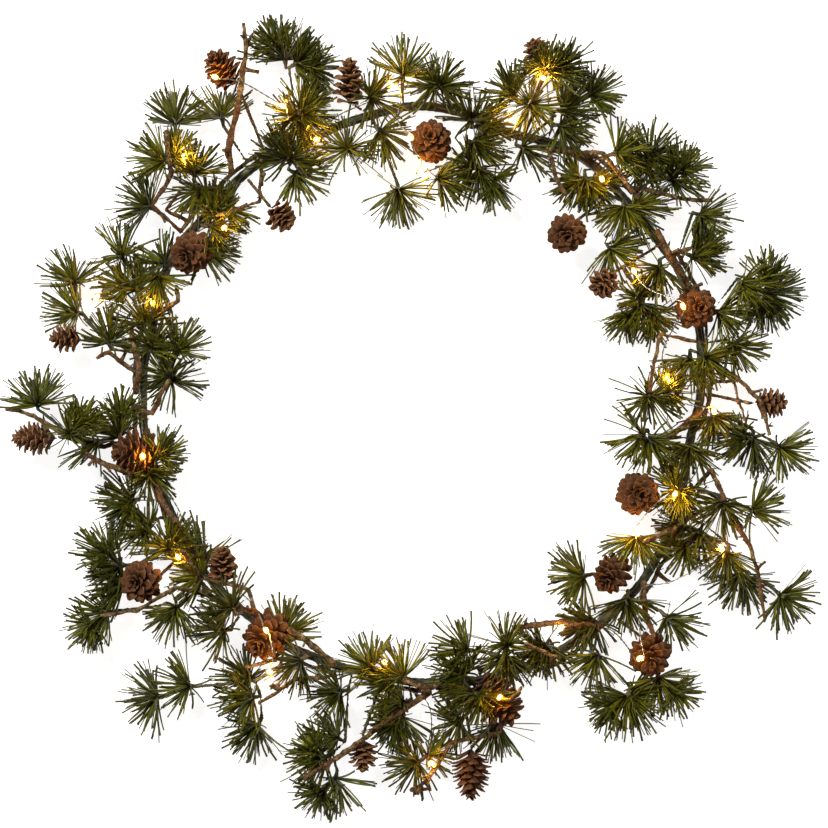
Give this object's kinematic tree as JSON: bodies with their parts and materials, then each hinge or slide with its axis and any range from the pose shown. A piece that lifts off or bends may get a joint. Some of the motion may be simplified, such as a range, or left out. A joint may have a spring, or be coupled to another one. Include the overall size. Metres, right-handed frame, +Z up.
{
  "type": "larch wreath",
  "caption": "Artificial larch wreath that lies flat: a taped wire ring with green needle sprays, brown twigs, cones and a string of small warm lights round an open middle.",
  "frame": {"origin": "on the surface that the wreath lies on, under the middle of the whole wreath's box", "axes": "+Z up out of the surface, +Y towards the top of the picture, +X to its right"},
  "size_m": [0.507, 0.4978, 0.0585],
  "materials": {
    "tape": "matte dark green florist tape",
    "needle": "soft moulded plastic, olive to dark green",
    "bark": "rough grey-brown moulded bark",
    "cone": "dry matt scales with paler edges",
    "light": "clear drops, warm white when lit, on thin silver wire"
  },
  "bodies": {
    "root": {"ring_frame": "tape", "light_string": "light", "needle_spray_01": "needle", "needle_spray_02": "needle", "needle_spray_03": "needle", "needle_spray_04": "needle", "needle_spray_05": "needle", "needle_spray_06": "needle", "needle_spray_07": "needle", "needle_spray_08": "needle", "needle_spray_09": "needle", "needle_spray_10": "needle", "needle_spray_11": "needle", "needle_spray_12": "needle", "needle_spray_13": "needle", "needle_spray_14": "needle", "needle_spray_15": "needle", "needle_spray_16": "needle", "needle_spray_17": "needle", "needle_spray_18": "needle", "needle_spray_19": "needle", "needle_spray_20": "needle", "needle_spray_21": "needle", "needle_spray_22": "needle", "needle_spray_23": "needle", "twig_01": "bark", "twig_02": "bark", "twig_03": "bark", "twig_04": "bark", "twig_05": "bark", "twig_06": "bark", "twig_07": "bark", "twig_08": "bark", "twig_09": "bark", "twig_10": "bark", "twig_11": "bark", "twig_12": "bark", "twig_13": "bark", "cone_01": "cone", "cone_02": "cone", "cone_03": "cone", "cone_04": "cone", "cone_05": "cone", "cone_06": "cone", "cone_07": "cone", "cone_08": "cone", "cone_09": "cone", "cone_10": "cone", "cone_11": "cone", "cone_12": "cone", "cone_13": "cone", "cone_14": "cone", "cone_15": "cone", "cone_16": "cone", "cone_17": "cone", "cone_18": "cone", "cone_19": "cone", "cone_20": "cone", "cone_21": "cone", "cone_22": "cone"}
  },
  "joints": []
}
